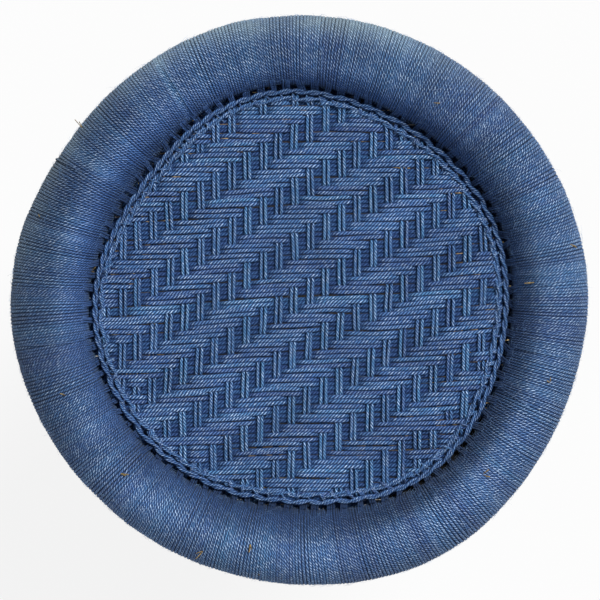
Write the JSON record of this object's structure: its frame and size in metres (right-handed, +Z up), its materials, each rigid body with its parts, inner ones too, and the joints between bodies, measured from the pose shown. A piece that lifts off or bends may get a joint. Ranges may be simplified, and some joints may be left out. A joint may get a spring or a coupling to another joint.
{
  "type": "mudda stool",
  "caption": "Round hourglass stool of crossed cane reeds with a thick cord-wound rim, a sunken twill-woven string seat and a wound base ring on a rubber tread.",
  "frame": {"origin": "middle of the foot, on the surface that the stool stands on", "axes": "+Z up along the stool's axis; +X to the right and +Y to the top of the seat's weave as seen from above"},
  "size_m": [0.4, 0.4, 0.42],
  "materials": {
    "blue_cord": "dyed cotton and jute cord, matt and slightly fuzzy",
    "straw": "dry straw bundle",
    "reed": "natural cane, satin",
    "cane": "split cane, matt",
    "rope": "natural grass rope, rough",
    "rubber": "worn matt rubber"
  },
  "bodies": {
    "root": {"rim_winding": "blue_cord", "rim_padding": "straw", "base_winding": "rope", "base_core": "straw", "base_tread": "rubber", "top_inner_hoop": "cane", "top_outer_hoop": "cane", "base_inner_hoop": "cane", "base_outer_hoop": "cane", "outer_reed_01": "reed", "outer_reed_02": "reed", "outer_reed_03": "reed", "outer_reed_04": "reed", "outer_reed_05": "reed", "outer_reed_06": "reed", "outer_reed_07": "reed", "outer_reed_08": "reed", "outer_reed_09": "reed", "outer_reed_10": "reed", "outer_reed_11": "reed", "outer_reed_12": "reed", "outer_reed_13": "reed", "outer_reed_14": "reed", "outer_reed_15": "reed", "outer_reed_16": "reed", "outer_reed_17": "reed", "outer_reed_18": "reed", "outer_reed_19": "reed", "inner_reed_01": "reed", "inner_reed_02": "reed", "inner_reed_03": "reed", "inner_reed_04": "reed", "inner_reed_05": "reed", "inner_reed_06": "reed", "inner_reed_07": "reed", "inner_reed_08": "reed", "inner_reed_09": "reed", "inner_reed_10": "reed", "inner_reed_11": "reed", "inner_reed_12": "reed", "inner_reed_13": "reed", "inner_reed_14": "reed", "inner_reed_15": "reed", "inner_reed_16": "reed", "inner_reed_17": "reed", "inner_reed_18": "reed", "inner_reed_19": "reed", "lower_lashing": "rope", "waist_lashing": "rope", "upper_lashing": "rope", "seat_weft": "blue_cord", "seat_warp": "blue_cord", "seat_edge_cords": "blue_cord"}
  },
  "joints": []
}
